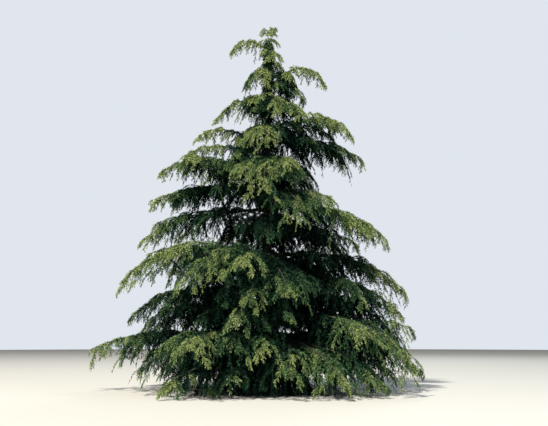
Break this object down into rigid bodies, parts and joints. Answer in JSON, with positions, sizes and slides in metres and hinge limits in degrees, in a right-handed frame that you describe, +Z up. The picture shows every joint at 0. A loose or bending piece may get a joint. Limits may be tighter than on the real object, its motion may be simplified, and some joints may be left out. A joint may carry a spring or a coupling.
{
  "type": "cedar tree",
  "caption": "Whole weeping cedar: a conical crown of drooping boughs in tiers, clothed in hanging needle sprays to the ground, round one straight trunk with a nodding leader.",
  "frame": {"origin": "centre of the flat cut under the trunk, at ground level", "axes": "+Z up the trunk, -Y towards the side seen from the front, +X to the right of it"},
  "size_m": [10.2652, 9.4726, 11.9171],
  "materials": {
    "bark": "rough grey-brown bark, cracked into small plates",
    "needles": "fresh yellow-green needles over dark blue-green ones, slightly waxy"
  },
  "bodies": {
    "root": {"bough_tier1_left": "bark", "bough_tier3_right": "bark", "bough_tier4_left": "bark", "foliage_leader": "needles", "foliage_tier1_back": "needles", "foliage_tier1_back_left": "needles", "foliage_tier1_back_right": "needles", "foliage_tier1_front": "needles", "foliage_tier1_front_left": "needles", "foliage_tier1_front_right": "needles", "foliage_tier1_left": "needles", "foliage_tier1_left_front": "needles", "foliage_tier1_right": "needles", "foliage_tier2_back": "needles", "foliage_tier2_back_left": "needles", "foliage_tier2_back_right": "needles", "foliage_tier2_front": "needles", "foliage_tier2_front_left": "needles", "foliage_tier2_front_right": "needles", "foliage_tier2_left_back": "needles", "foliage_tier2_right": "needles", "foliage_tier3_back_left": "needles", "foliage_tier3_back_right": "needles", "foliage_tier3_front": "needles", "foliage_tier3_left": "needles", "foliage_tier3_right": "needles", "foliage_tier3_right_front": "needles", "foliage_tier4_back": "needles", "foliage_tier4_back_right": "needles", "foliage_tier4_front": "needles", "foliage_tier4_front_high": "needles", "foliage_tier4_front_low": "needles", "foliage_tier4_front_right": "needles", "foliage_tier4_left": "needles", "foliage_tier4_left_front": "needles", "foliage_tier4_right": "needles", "foliage_tier5_back": "needles", "foliage_tier5_back_left": "needles", "foliage_tier5_front": "needles", "foliage_tier5_left": "needles", "foliage_tier5_left_low": "needles", "foliage_tier5_right": "needles", "foliage_tier6_back": "needles", "foliage_tier6_front": "needles", "foliage_tier6_left": "needles", "foliage_tier6_left_low": "needles", "foliage_tier6_right": "needles", "foliage_tier6_right_low": "needles", "foliage_tier7_back": "needles", "foliage_tier7_front": "needles", "foliage_tier7_front_right": "needles", "foliage_tier7_left": "needles", "foliage_tier7_right": "needles", "foliage_tier8_back": "needles", "foliage_tier8_front": "needles", "foliage_tier8_front_low": "needles", "foliage_tier8_left": "needles", "foliage_tier8_left_low": "needles", "foliage_tier8_right": "needles", "trunk": "bark"}
  },
  "joints": []
}
